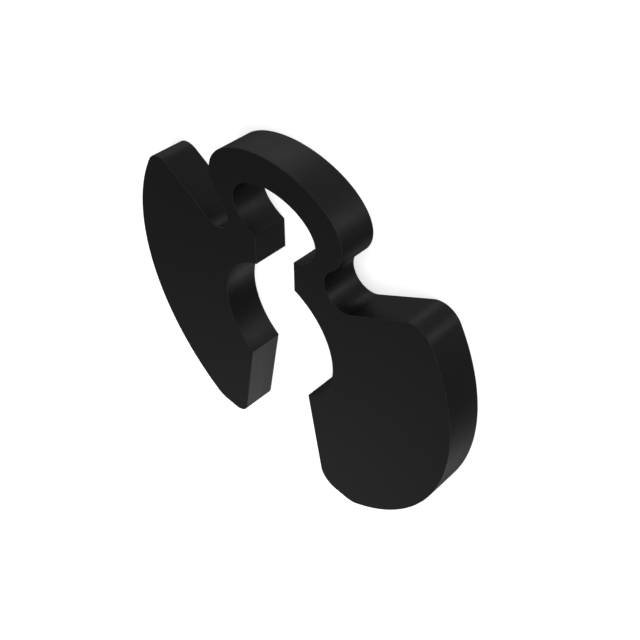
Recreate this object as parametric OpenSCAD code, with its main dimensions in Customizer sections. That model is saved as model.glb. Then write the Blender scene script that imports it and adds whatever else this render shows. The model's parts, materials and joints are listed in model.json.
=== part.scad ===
// Side-mount retaining ring: a flat spring-steel clip that is pushed sideways into a shaft's groove.
// The shaft runs along Z through the origin, the mouth opens towards -Y and the spring bow is at +Y.
// The ring lies flat with its lower face on Z = 0.

/* [Stock] */
// Thickness of the spring steel
thickness = 1; // [0.6:0.05:1.4]

/* [Shaft seat] */
// Diameter of the seat that grips the floor of the groove
seat_d = 4; // [3.6:0.05:4.5]
// Gap between the ends of the two prongs
prong_gap = 1.36; // [0.9:0.02:1.9]
// Width of the prongs between the seat and the eye, on the centre line
prong_w = 0.67; // [0.45:0.01:0.9]

/* [Mouth] */
// Width of the mouth at its two corners on the seat
mouth_w = 2.22; // [1.7:0.02:2.8]
// Flare of each side of the mouth, in degrees
mouth_flare = 10; // [4:1:16]

/* [Lobes] */
// Diameter of the circle that bounds both lobes
outer_d = 11.4; // [10.8:0.1:13]
// Depth of each lobe's flat foot inside that circle
foot_cut = 0.745; // [0.6:0.005:0.95]
// Radius from the foot out to the bounding circle
heel_r = 0.8; // [0.4:0.02:1]
// Radius from the foot up into the mouth
toe_r = 0.58; // [0.3:0.02:0.7]
// Slope of the shoulder on top of each lobe, in degrees
shoulder_slope = 30; // [24:1:36]
// Radius of the shoulder's outer corner
shoulder_r = 0.58; // [0.3:0.02:0.9]

/* [Spring bow] */
// Width of the oval eye inside the bow
eye_w = 2.82; // [2.4:0.02:3.2]
// Height of the eye
eye_h = 1.79; // [1.5:0.01:2.1]
// Width of the bow at its crown
crown_w = 0.82; // [0.6:0.01:1.05]
// Width of the bow at its sides
side_w = 0.83; // [0.65:0.01:1]
// Height of the bow's centre above the eye's centre
bow_rise = 0.39; // [0.25:0.01:0.5]
// Radius of the notch that parts the bow from the shoulder
notch_r = 0.56; // [0.4:0.01:0.7]
// Angle on the bow's ellipse, below its widest line, where the notch begins
notch_at = 33.4; // [28:0.2:40]

/* [Hidden] */
$fn = 180;

seat_r = seat_d / 2;
outer_r = outer_d / 2;

// The eye and the bow are two ellipses, and the bow's is set a little higher
eye_rx = eye_w / 2;
eye_ry = eye_h / 2;
eye_y = seat_r + prong_w + eye_ry;
bow_rx = eye_rx + side_w;
bow_ry = eye_ry + crown_w - bow_rise;
bow_y = eye_y + bow_rise;

// The notch touches the bow's ellipse where it begins
notch_start = [bow_rx * cos(notch_at), bow_y - bow_ry * sin(notch_at)];
notch_out = unit([cos(notch_at) / bow_rx, -sin(notch_at) / bow_ry]);
notch_c = notch_start + notch_r * notch_out;

// The shoulder is a straight line that touches the notch, and its corner touches the bounding circle
shoulder_along = [cos(shoulder_slope), sin(shoulder_slope)];
shoulder_out = [-sin(shoulder_slope), cos(shoulder_slope)];
shoulder_rise = notch_c * shoulder_out - notch_r - shoulder_r;
shoulder_reach = leg(outer_r - shoulder_r, shoulder_rise);
shoulder_c = shoulder_rise * shoulder_out + shoulder_reach * shoulder_along;

// The heel touches the foot and the bounding circle
foot_y = foot_cut - outer_r;
heel_y = foot_y + heel_r;
heel_c = [leg(outer_r - heel_r, heel_y), heel_y];

// Each side of the mouth runs straight from its corner on the seat down to the toe
mouth_corner = [mouth_w / 2, -leg(seat_r, mouth_w / 2)];
mouth_down = [sin(mouth_flare), -cos(mouth_flare)];
mouth_out = [cos(mouth_flare), sin(mouth_flare)];
toe_y = foot_y + toe_r;
toe_drop = (mouth_corner.y + toe_r * mouth_out.y - toe_y) / cos(mouth_flare);
toe_c = mouth_corner + toe_drop * mouth_down + toe_r * mouth_out;

// Arcs reach this far past the lines that they touch, so that they join in one clean edge
lap = 0.00002;
// Beyond the bounding circle, which trims the blank
far = 2 * outer_r;

function unit(v) = v / norm(v);
// Other leg of a right triangle
function leg(hypotenuse, side) = sqrt(hypotenuse * hypotenuse - side * side);

module disc(centre, r) {
    translate(centre)
        circle(r + lap);
}

module ellipse(centre, rx, ry) {
    translate(centre)
        scale([1, ry / rx])
            circle(rx);
}

// Right lobe and half of the neck, filled in over the seat, the eye and the notch
module half_blank() {
    intersection() {
        circle(outer_r);
        polygon([
            [0, 0],
            mouth_corner - seat_r * mouth_down,
            toe_c - toe_r * mouth_out,
            toe_c,
            [toe_c.x, foot_y],
            [heel_c.x, foot_y],
            heel_c,
            far * unit(heel_c),
            far * unit(shoulder_c),
            shoulder_c,
            shoulder_c + shoulder_r * shoulder_out,
            notch_c - notch_r * shoulder_out,
            notch_c,
            notch_start,
            [0, bow_y],
        ]);
    }
    disc(toe_c, toe_r);
    disc(heel_c, heel_r);
    disc(shoulder_c, shoulder_r);
}

module outline() {
    difference() {
        union() {
            half_blank();
            mirror([1, 0])
                half_blank();
            ellipse([0, bow_y], bow_rx, bow_ry);
        }
        for (side = [-1, 1])
            disc([side * notch_c.x, notch_c.y], notch_r);
        circle(seat_r);
        ellipse([0, eye_y], eye_rx, eye_ry);
        translate([-prong_gap / 2, 0])
            square([prong_gap, eye_y]);
    }
}

module retaining_ring() {
    color([0.1, 0.1, 0.105])
        linear_extrude(thickness)
            outline();
}

retaining_ring();
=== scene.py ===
import json
import math
import bpy
import numpy as np
from mathutils import Matrix, Vector


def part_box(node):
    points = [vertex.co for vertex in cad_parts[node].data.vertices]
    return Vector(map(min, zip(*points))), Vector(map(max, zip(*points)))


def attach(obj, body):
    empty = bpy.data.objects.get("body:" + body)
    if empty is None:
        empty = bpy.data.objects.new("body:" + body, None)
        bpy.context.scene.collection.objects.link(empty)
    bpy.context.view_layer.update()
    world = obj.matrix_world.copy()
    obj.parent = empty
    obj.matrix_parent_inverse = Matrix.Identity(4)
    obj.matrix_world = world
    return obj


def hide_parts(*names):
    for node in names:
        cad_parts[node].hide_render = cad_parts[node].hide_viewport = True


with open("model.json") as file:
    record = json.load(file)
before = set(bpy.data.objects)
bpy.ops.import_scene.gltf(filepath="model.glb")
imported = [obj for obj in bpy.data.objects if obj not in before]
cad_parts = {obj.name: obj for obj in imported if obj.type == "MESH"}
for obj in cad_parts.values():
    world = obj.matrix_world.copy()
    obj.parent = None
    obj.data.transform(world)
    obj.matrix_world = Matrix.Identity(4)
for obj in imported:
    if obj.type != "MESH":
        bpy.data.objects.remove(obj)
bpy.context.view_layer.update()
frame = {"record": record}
scene = bpy.context.scene
mm = 0.001      # in metres, which the frame uses

# Ring, in millimetres about the shaft axis: arcs, lines and two ellipses that run smoothly into each other.
# The outer circle, the foot, the crown, the thickness and the seat come from the frame.

ringSizes = {
    "prongGap": 1.36,        # between the ends of the prongs
    "prongWidth": 0.67,      # from the seat to the eye, on the centre line
    "mouthWidth": 2.22,      # at the two corners on the seat
    "mouthFlare": 10,        # degrees, each side
    "heelRadius": 0.8,       # from the foot out to the outer circle
    "toeRadius": 0.58,       # from the foot up into the mouth
    "shoulderSlope": 30,     # degrees
    "shoulderRadius": 0.58,
    "eyeWidth": 2.82,
    "eyeHeight": 1.79,
    "sideWidth": 0.83,       # of the bow, beside the eye
    "bowRise": 0.39,         # of the bow's centre above the eye's
    "notchRadius": 0.56,
    "notchAt": 33.4,         # degrees on the bow's ellipse, below its widest line
    "cornerRadius": 0.02,    # left by tumbling on the prongs and the mouth's corners
    "tipTries": 4001,        # angles tried to find where the prong's tip meets the eye
    "upperEdge": 0.014,      # rounding of the upper edges
    "lowerEdge": 0.01,       # rounding of the lower edges, where the blank left the die
    "edgeSteps": 4,          # rows of faces on each rounding
    "edgeRim": 0.003,        # flat rim beside each rounding, which keeps the shading of the faces flat
    "spacing": 0.03,         # of the points along the outline
    "fewest": 4,             # points on the smallest rounding
    "lobeSplit": -38,        # degrees on the outer circle, across from the mouth's corner
    "seatSplit": 30,         # on the seat, across from the foot of the shoulder
    "waist": 222,            # on the notch, across from the prong's corner on the seat
    "throat": 190,           # on the notch, across from the prong's tip
    "eyeSide": -20,          # on the eye, across from the end of the notch
}


# Unit vector at an angle in degrees, or a row of them for an array of angles
def heading(degrees):
    turn = np.radians(degrees)
    return np.stack([np.cos(turn), np.sin(turn)], axis=-1)


# Outward normal of an ellipse, along (cos a / rx, sin a / ry). For a circle both radii are one number.
def outward(radii, degrees):
    normal = heading(degrees) / radii
    return normal / np.linalg.norm(normal, axis=-1, keepdims=True)


# Angle of a vector, in degrees
def angle(v):
    return math.degrees(math.atan2(v[1], v[0]))


# Other leg of a right triangle
def leg(hypotenuse, side):
    return math.sqrt(hypotenuse ** 2 - side ** 2)


# Stretch of a circle or an ellipse, centre + (rx cos a, ry sin a), as a function of t from 0 to 1.
# Each row is x, y and the normal out of the steel. side is 1 where the steel is inside the curve, or else -1.
def arc(centre, radii, start, end, side):
    def rows(t):
        a = start + (end - start) * t
        return np.hstack([centre + radii * heading(a), side * outward(radii, a)])
    return rows


# Straight stretch, start + (end - start) t, with one normal all along
def line(start, end, normal):
    def rows(t):
        return np.hstack([start + np.outer(t, end - start), np.tile(normal, (len(t), 1))])
    return rows


# Length of a stretch, as the sum of short chords
def lengthOf(stretch, chords=63):
    points = stretch(np.linspace(0, 1, chords + 1))[:, :2]
    return np.linalg.norm(np.diff(points, axis=0), axis=1).sum()


# Two chains of stretches that keep step: both get the same number of points, shared out by length along
# each one. Every stretch leaves its far end to the next.
def keepStep(chains, s):
    lengths = [np.array([lengthOf(stretch) for stretch in chain]) for chain in chains]
    total = math.ceil(max(row.sum() for row in lengths) / s["spacing"])
    sampled = []
    for chain, row in zip(chains, lengths):
        counts = np.maximum(np.rint(total * row / row.sum()), s["fewest"]).astype(int)
        counts[np.argmax(counts)] += total - counts.sum()
        sampled.append(np.vstack([stretch(np.arange(n) / n) for stretch, n in zip(chain, counts)]))
    return sampled


# Half of the ring, from the right foot up to the crown of the bow, as two paths with the same number of
# points: the inner one along the mouth, the seat, the prong and the eye, and the outer one along the lobe,
# the notch and the bow. The foot is the straight edge between their first points.
def halfPaths(s):
    lo, hi = (np.array(corner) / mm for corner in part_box("retaining_ring"))
    outerR, footY, bowTop = hi[0], lo[1], hi[1]
    seatR = next(m["dims"]["r_mm"] for m in frame["record"]["mounts"] if m["name"] == "shaft_seat")
    axis = np.zeros(2)

    eyeRadii = np.array([s["eyeWidth"], s["eyeHeight"]]) / 2
    eyeC = np.array([0, seatR + s["prongWidth"] + eyeRadii[1]])
    bowC = eyeC + [0, s["bowRise"]]
    bowRadii = np.array([eyeRadii[0] + s["sideWidth"], bowTop - bowC[1]])

    # The notch touches the bow, the shoulder touches the notch, and its corner touches the outer circle
    notchOut = outward(bowRadii, -s["notchAt"])
    notchC = bowC + bowRadii * heading(-s["notchAt"]) + s["notchRadius"] * notchOut
    along, over = heading(s["shoulderSlope"]), heading(s["shoulderSlope"] + 90)
    rise = notchC @ over - s["notchRadius"] - s["shoulderRadius"]
    shoulderC = rise * over + leg(outerR - s["shoulderRadius"], rise) * along

    # The heel touches the foot and the outer circle, and the toe touches the foot and the side of the mouth
    heelY = footY + s["heelRadius"]
    heelC = np.array([leg(outerR - s["heelRadius"], heelY), heelY])
    mouthDown, mouthIn = heading(s["mouthFlare"] - 90), heading(s["mouthFlare"])
    mouthCorner = np.array([s["mouthWidth"] / 2, -leg(seatR, s["mouthWidth"] / 2)])
    toeIn = mouthCorner @ mouthIn + s["toeRadius"]
    toeC = toeIn * mouthIn + (footY + s["toeRadius"] - toeIn * mouthIn[1]) / mouthDown[1] * mouthDown

    # The small roundings touch the side of the mouth or the prong's end, and the seat or the eye
    small = s["cornerRadius"]
    lipIn = mouthCorner @ mouthIn + small
    lipC = lipIn * mouthIn + leg(seatR + small, lipIn) * mouthDown
    prongIn = s["prongGap"] / 2 + small
    prongC = np.array([prongIn, leg(seatR + small, prongIn)])
    turns = np.linspace(-90, 0, s["tipTries"])
    reach = eyeRadii[0] * heading(turns)[:, 0] + small * outward(eyeRadii, turns)[:, 0]
    eyeStart = np.interp(prongIn, reach, turns)
    tipOut = outward(eyeRadii, eyeStart)
    tipC = eyeC + eyeRadii * heading(eyeStart) + small * tipOut

    # Pairs of chains that face each other across the steel, the inner one first
    reaches = [
        ([arc(toeC, s["toeRadius"], 270, 180 + s["mouthFlare"], 1),
          line(toeC - s["toeRadius"] * mouthIn, lipC - small * mouthIn, -mouthIn)],
         [arc(heelC, s["heelRadius"], -90, angle(heelC), 1),
          arc(axis, outerR, angle(heelC), s["lobeSplit"], 1)]),
        ([arc(lipC, small, 180 + s["mouthFlare"], 180 + angle(lipC), 1),
          arc(axis, seatR, angle(lipC), s["seatSplit"], -1)],
         [arc(axis, outerR, s["lobeSplit"], angle(shoulderC), 1),
          arc(shoulderC, s["shoulderRadius"], angle(shoulderC), 90 + s["shoulderSlope"], 1),
          line(shoulderC + s["shoulderRadius"] * over, notchC - s["notchRadius"] * over, over)]),
        ([arc(axis, seatR, s["seatSplit"], angle(prongC), -1)],
         [arc(notchC, s["notchRadius"], 270 + s["shoulderSlope"], s["waist"], -1)]),
        ([arc(prongC, small, 180 + angle(prongC), 180, 1),
          line(prongC - [small, 0], tipC - [small, 0], heading(180)),
          arc(tipC, small, 180, 180 + angle(tipOut), 1)],
         [arc(notchC, s["notchRadius"], s["waist"], s["throat"], -1)]),
        ([arc(eyeC, eyeRadii, eyeStart, s["eyeSide"], -1)],
         [arc(notchC, s["notchRadius"], s["throat"], 180 + angle(notchOut), -1)]),
        ([arc(eyeC, eyeRadii, s["eyeSide"], 90, -1)],
         [arc(bowC, bowRadii, -s["notchAt"], 90, 1)]),
    ]
    crown = ([[0, eyeC[1] + eyeRadii[1], 0, -1]], [[0, bowTop, 0, 1]])
    return [np.vstack(rows) for rows in zip(*[keepStep(reach, s) for reach in reaches], crown)]


# Section of the edge, from the upper face down the wall to the lower face: how far each row is set in from
# the outline, its height and its wear. Each rounding is a quarter circle of radius r, with an inset of
# r (1 - sin a), a depth of r (1 - cos a) and the most wear half way round.
def edgeSection(s, thick):
    turn = np.linspace(0, np.pi / 2, s["edgeSteps"] + 1)
    inset, depth = 1 - np.sin(turn), 1 - np.cos(turn)
    top, low, rim = s["upperEdge"], s["lowerEdge"], s["edgeRim"]
    insets = np.concatenate([[top + rim], top * inset, [0, 0], low * inset[::-1], [low + rim]])
    heights = np.concatenate([
        [thick], thick - top * depth, [thick - top - rim, low + rim], low * depth[::-1], [0],
    ])
    wear = np.concatenate([[0], np.sin(2 * turn), [0, 0], np.sin(2 * turn), [0]])
    return insets, heights, wear


# The wall is outline - inset * normal at each height. The flat faces are strips of quads between the paths.
def makeRing(s):
    mirror = np.array([-1, 1, -1, 1])
    inner, outer = (np.vstack([path, path[-2::-1] * mirror]) for path in halfPaths(s))
    loop = np.vstack([inner, outer[::-1]])
    count = len(loop)
    insets, heights, wear = edgeSection(s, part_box("retaining_ring")[1].z / mm)
    flat = loop[:, :2] - insets[:, None, None] * loop[:, 2:]
    tall = np.broadcast_to(heights[:, None, None], (*flat.shape[:2], 1))
    points = np.concatenate([flat, tall], axis=2).reshape(-1, 3)
    grid = np.arange(len(points)).reshape(-1, count)
    ahead = np.roll(grid, -1, axis=1)
    wall = np.stack([grid[:-1], ahead[:-1], ahead[1:], grid[1:]], axis=2).reshape(-1, 4)
    rung = np.arange(len(inner) - 1)
    strip = np.stack([rung, count - 1 - rung, count - 2 - rung, rung + 1], axis=1)
    faces = np.vstack([wall, grid[0][strip], grid[-1][strip[:, ::-1]]])

    mesh = bpy.data.meshes.new("ringSteel")
    mesh.from_pydata((points * mm).tolist(), [], faces.tolist())
    mesh.polygons.foreach_set("use_smooth", np.arange(len(faces)) < len(wall))
    mesh.attributes.new("edgeWear", "FLOAT", "POINT").data.foreach_set("value", np.repeat(wear, count))
    mesh.validate()
    ring = bpy.data.objects.new("ringSteel", mesh)
    scene.collection.objects.link(ring)
    print(f"ring: {count} points round the outline, {len(faces)} faces")
    return ring


ring = makeRing(ringSizes)
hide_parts("retaining_ring")
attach(ring, "root")


# Shader maths: a wrapped socket takes the operators, and each adds a Math node. Any other node comes from
# node(), whose sockets are given by name, with _ for a space, or by number, such as i0.

class Wire:
    def __init__(self, tree, socket):
        self.tree = tree
        self.socket = socket

    def node(self, kind, settings=None, outlet=0, **sockets):
        made = self.tree.nodes.new(kind)
        for name, value in (settings or {}).items():
            setattr(made, name, value)
        for name, value in sockets.items():
            plug = made.inputs[int(name[1:]) if name[1:].isdigit() else name.replace("_", " ")]
            if isinstance(value, Wire):
                self.tree.links.new(value.socket, plug)
            else:
                plug.default_value = value
        return Wire(self.tree, made.outputs[outlet])

    def math(self, operation, a, b=0):
        return self.node("ShaderNodeMath", {"operation": operation}, i0=a, i1=b)

    def __add__(self, other):
        return self.math("ADD", self, other)

    def __sub__(self, other):
        return self.math("SUBTRACT", self, other)

    def __mul__(self, other):
        return self.math("MULTIPLY", self, other)

    def __rsub__(self, other):
        return self.math("SUBTRACT", other, self)

    def __pow__(self, other):
        return self.math("POWER", self, other)

    __radd__ = __add__
    __rmul__ = __mul__


# Black phosphate on spring steel: almost black and satin. The faces keep a fine crystal grain and faint
# clouds. The walls, which the die cut, have fine scores along the stroke, and their lower part, which broke
# off, is a little rougher.

blackSteel = {
    "coat": (0.0026, 0.0026, 0.0027, 1),
    "thin": (0.0046, 0.0046, 0.0047, 1),      # where the coating is a little thinner
    "worn": (0.016, 0.016, 0.0165, 1),        # on the edges, after tumbling
    "roughness": 0.34,
    "cloud": (0.9, 3),       # scale of each pattern, per millimetre, and its detail
    "mottle": (7, 4),
    "grain": (52, 2),
    "score": (34, 3),
    "waver": (1.6, 2),
    "thinCloud": 0.35,       # share of each pattern in the thinning of the coating
    "thinMottle": 0.35,
    "thinGrain": 0.3,
    "roughCloud": 0.07,      # change of roughness with each pattern
    "roughMottle": 0.08,
    "roughGrain": 0.1,
    "roughScore": 0.1,       # on the walls alone
    "roughBreak": 0.03,      # below the line where the steel broke
    "breakLine": 0.42,       # height of that line, how far it wavers and how far it fades, in millimetres
    "breakWaver": 0.16,
    "breakFade": 0.12,
    "scoreStretch": 0.03,    # the scores run down the wall, so they change slowly with height
    "grainDepth": 0.0025,    # millimetres
    "scoreDepth": 0.0018,
    "cutShare": 0.4,         # of the scores' depth that is left above the break line
}


def makeBlackSteel(s):
    material = bpy.data.materials.new("blackSteel")
    material.use_nodes = True
    tree = material.node_tree
    shader = tree.nodes["Principled BSDF"]
    start = Wire(tree, None)
    place = start.node("ShaderNodeTexCoord", outlet="Object")
    normal = start.node("ShaderNodeTexCoord", outlet="Normal")
    height = start.node("ShaderNodeSeparateXYZ", outlet="Z", Vector=place) * (1 / mm)
    slope = start.node("ShaderNodeSeparateXYZ", outlet="Z", Vector=normal)
    wall = 1 - start.math("ABSOLUTE", slope)      # 1 on the walls and 0 on the flat faces
    stroke = start.node(
        "ShaderNodeVectorMath", {"operation": "MULTIPLY"}, i0=place, i1=(1, 1, s["scoreStretch"]))

    def noise(name, vector):
        scale, detail = s[name]
        return start.node("ShaderNodeTexNoise", Vector=vector, Scale=scale / mm, Detail=detail)

    def mix(factor, first, second):
        return start.node("ShaderNodeMix", {"data_type": "RGBA"}, outlet=2, i0=factor, i6=first, i7=second)

    cloud, mottle, grain = (noise(name, place) for name in ("cloud", "mottle", "grain"))
    score = noise("score", stroke)
    breakLine = s["breakLine"] + s["breakWaver"] * (noise("waver", stroke) - 0.5)
    broken = start.node(
        "ShaderNodeMapRange", {"interpolation_type": "SMOOTHSTEP"},
        Value=height - breakLine, From_Min=s["breakFade"], From_Max=-s["breakFade"])
    edge = start.node("ShaderNodeAttribute", {"attribute_name": "edgeWear"}, outlet="Fac")

    thin = s["thinCloud"] * cloud + s["thinMottle"] * mottle + s["thinGrain"] * grain
    colour = mix(edge * mottle, mix(thin, s["coat"], s["thin"]), s["worn"])
    rough = s["roughness"] + s["roughCloud"] * (cloud - 0.5) + s["roughMottle"] * (mottle - 0.5)
    rough = rough + s["roughGrain"] * (grain - 0.5)
    rough = rough + wall * (s["roughScore"] * (score - 0.5) + s["roughBreak"] * broken)
    cut = s["cutShare"] + (1 - s["cutShare"]) * broken
    depth = s["grainDepth"] * grain + s["scoreDepth"] * wall * score * cut
    bump = start.node("ShaderNodeBump", Distance=mm, Height=depth)
    tree.links.new(colour.socket, shader.inputs["Base Color"])
    tree.links.new(rough.socket, shader.inputs["Roughness"])
    tree.links.new(bump.socket, shader.inputs["Normal"])
    print("material: black steel")
    return material


ring.data.materials.append(makeBlackSteel(blackSteel))

# Floor: a white light table, so that shadows stay faint

lightTable = {
    "colour": (0.8, 0.8, 0.8, 1),
    "glow": 0.42,
    "reach": 650,            # millimetres each way
}


def makeLightTable(s):
    mesh = bpy.data.meshes.new("lightTable")
    corners = np.array([[-1, -1, 0], [1, -1, 0], [1, 1, 0], [-1, 1, 0]]) * s["reach"] * mm
    mesh.from_pydata(corners.tolist(), [], [[0, 1, 2, 3]])
    table = bpy.data.objects.new("lightTable", mesh)
    scene.collection.objects.link(table)
    table.visible_glossy = False      # the satin walls mirror the soft boxes, and not the table
    material = bpy.data.materials.new("tableWhite")
    material.use_nodes = True
    shader = material.node_tree.nodes["Principled BSDF"]
    shader.inputs["Base Color"].default_value = s["colour"]
    shader.inputs["Roughness"].default_value = 1
    shader.inputs["Specular IOR Level"].default_value = 0
    shader.inputs["Emission Color"].default_value = (1, 1, 1, 1)
    shader.inputs["Emission Strength"].default_value = s["glow"]
    mesh.materials.append(material)
    print("stage: light table")


makeLightTable(lightTable)

# Lamps that light the table: azimuth and elevation in degrees, how wide they look, and their strength

lamps = {
    "overhead": (60, 68, 100, 2.2),
    "side": (-50, 50, 70, 0.9),
}


def towards(azimuth, elevation):
    turn, lift = math.radians(azimuth), math.radians(elevation)
    return Vector((math.cos(lift) * math.cos(turn), math.cos(lift) * math.sin(turn), math.sin(lift)))


def makeLamp(name, azimuth, elevation, width, strength):
    lamp = bpy.data.objects.new(name, bpy.data.lights.new(name, "SUN"))
    lamp.data.angle, lamp.data.energy = math.radians(width), strength
    lamp.rotation_euler = towards(azimuth, elevation).to_track_quat("Z", "Y").to_euler()
    lamp.visible_glossy = False       # the steel mirrors the soft boxes alone
    scene.collection.objects.link(lamp)


for name, values in lamps.items():
    makeLamp(name, *values)

# Soft boxes that the satin steel mirrors: azimuth, elevation, sharpness and brightness. The light of each is
# brightness * (cosine of the angle from its middle) ^ sharpness. Seen from above, the walls mirror the boxes
# below the horizon, and the upper face mirrors those above it.

softBoxes = {
    "mouth": (-70, -16, 40, 1),
    "front": (35, -27, 40, 1),
    "back": (135, -36, 40, 0.6),
    "left": (165, -27, 110, 0.35),
    "under": (75, -70, 2.7, 0.38),
    "beyond": (-115, 26, 35, 0.17),
    "bowSide": (95, 15, 45, 0.9),
    "rightSide": (5, 15, 25, 1),
    "leftSide": (180, 15, 30, 1),
    "footSide": (-45, 15, 25, 0.9),
    "rightBack": (45, 31, 22, 0.4),
    "leftBack": (135, 33, 22, 0.45),
    "mouthAbove": (-88, 12, 60, 0.6),
    "bowAbove": (75, 60, 14, 0.55),
    "zenith": (0, 85, 8, 0.25),
}
surround = {
    "dim": 0.046,            # what the steel mirrors between the boxes
    "white": 1.2,            # what the camera sees beyond the table
}


def makeWorld(boxes, s):
    world = bpy.data.worlds.new("studio")
    world.use_nodes = True
    tree = world.node_tree
    start = Wire(tree, None)
    way = start.node("ShaderNodeTexCoord", outlet="Generated")
    light = s["dim"]
    for azimuth, elevation, sharpness, brightness in boxes.values():
        middle = towards(azimuth, elevation)
        facing = start.node(
            "ShaderNodeVectorMath", {"operation": "DOT_PRODUCT"}, outlet="Value", i0=way, i1=middle)
        light = light + brightness * start.math("MAXIMUM", facing) ** sharpness
    camera = start.node("ShaderNodeLightPath", outlet="Is Camera Ray")
    shown = s["white"] * camera + (1 - camera) * light
    tree.links.new(shown.socket, tree.nodes["Background"].inputs["Strength"])
    tree.nodes["Background"].inputs["Color"].default_value = (1, 1, 1, 1)
    world.cycles.sampling_method = "NONE"     # boxes below the table are met only by mirrored rays
    scene.world = world
    print(f"light: {len(lamps)} lamps, {len(boxes)} soft boxes")


makeWorld(softBoxes, surround)
scene.view_settings.view_transform = "Standard"     # keeps the table white

# The camera looks down on the ring from 45 degrees to its right and 45 degrees above, counted as if the ring
# stood on its feet with the bow on top, and the bow is at the top of the picture

view = {
    "turn": 45,
    "lift": 45,
    "distance": 22.346,      # millimetres to the middle of the upper face, along the line of sight
    "right": 1.106,          # how far the camera is moved across, so that the ring sits left of the middle
    "up": 0.28,
    "lens": 48.12,           # millimetres, and the width of its sensor
    "sensor": 36,
    "near": 1,               # millimetres, and nothing nearer or farther than these two is drawn
    "far": 2000,
}


def makeCamera(s):
    turn, lift = math.radians(s["turn"]), math.radians(s["lift"])
    right = Vector((math.cos(turn), 0, -math.sin(turn)))
    back = Vector((math.sin(turn) * math.cos(lift), math.sin(lift), math.cos(turn) * math.cos(lift)))
    up = back.cross(right)
    face = Vector((0, 0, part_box("retaining_ring")[1].z))
    camera = bpy.data.objects.new("camera", bpy.data.cameras.new("camera"))
    camera.data.lens, camera.data.sensor_width = s["lens"], s["sensor"]
    camera.data.clip_start, camera.data.clip_end = s["near"] * mm, s["far"] * mm
    camera.matrix_world = Matrix((right, up, back)).transposed().to_4x4()
    camera.location = face + (back * s["distance"] + right * s["right"] + up * s["up"]) * mm
    scene.collection.objects.link(camera)
    scene.camera = camera
    print(f"camera: {s['lens']} mm lens, {s['distance']} mm away")


makeCamera(view)
